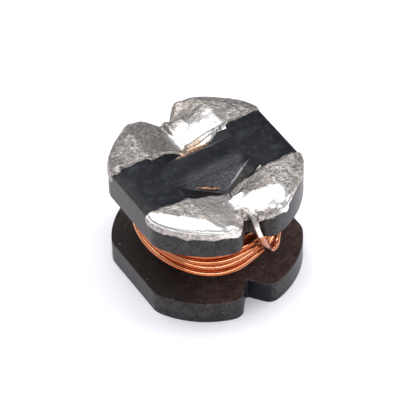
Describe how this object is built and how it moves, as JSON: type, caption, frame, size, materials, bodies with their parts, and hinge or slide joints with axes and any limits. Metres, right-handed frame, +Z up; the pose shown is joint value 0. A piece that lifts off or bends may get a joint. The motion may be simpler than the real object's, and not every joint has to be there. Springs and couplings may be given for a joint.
{
  "type": "open drum-core surface-mount power inductor",
  "caption": "Open drum-core power inductor for surface mounting: a notched ferrite core, an enamelled copper winding and two soldered terminals, shown terminal side up",
  "frame": {"origin": "middle of the plain flange's outer face, which the part stands on", "axes": "+Z runs up the post to the terminal face, Y runs from notch to notch, X runs across the two flats"},
  "size_m": [0.0068, 0.0076, 0.0052],
  "materials": {
    "ferrite": "matt pressed and sintered ferrite",
    "enamelled_copper": "clear enamel over bright copper",
    "tinned_terminal": "dull mottled solder-dipped tin",
    "solder": "bright reflowed solder"
  },
  "bodies": {
    "root": {"drum_core": "ferrite", "winding": "enamelled_copper", "front_terminal": "tinned_terminal", "rear_terminal": "tinned_terminal", "front_solder_joint": "solder", "rear_solder_joint": "solder"}
  },
  "joints": []
}
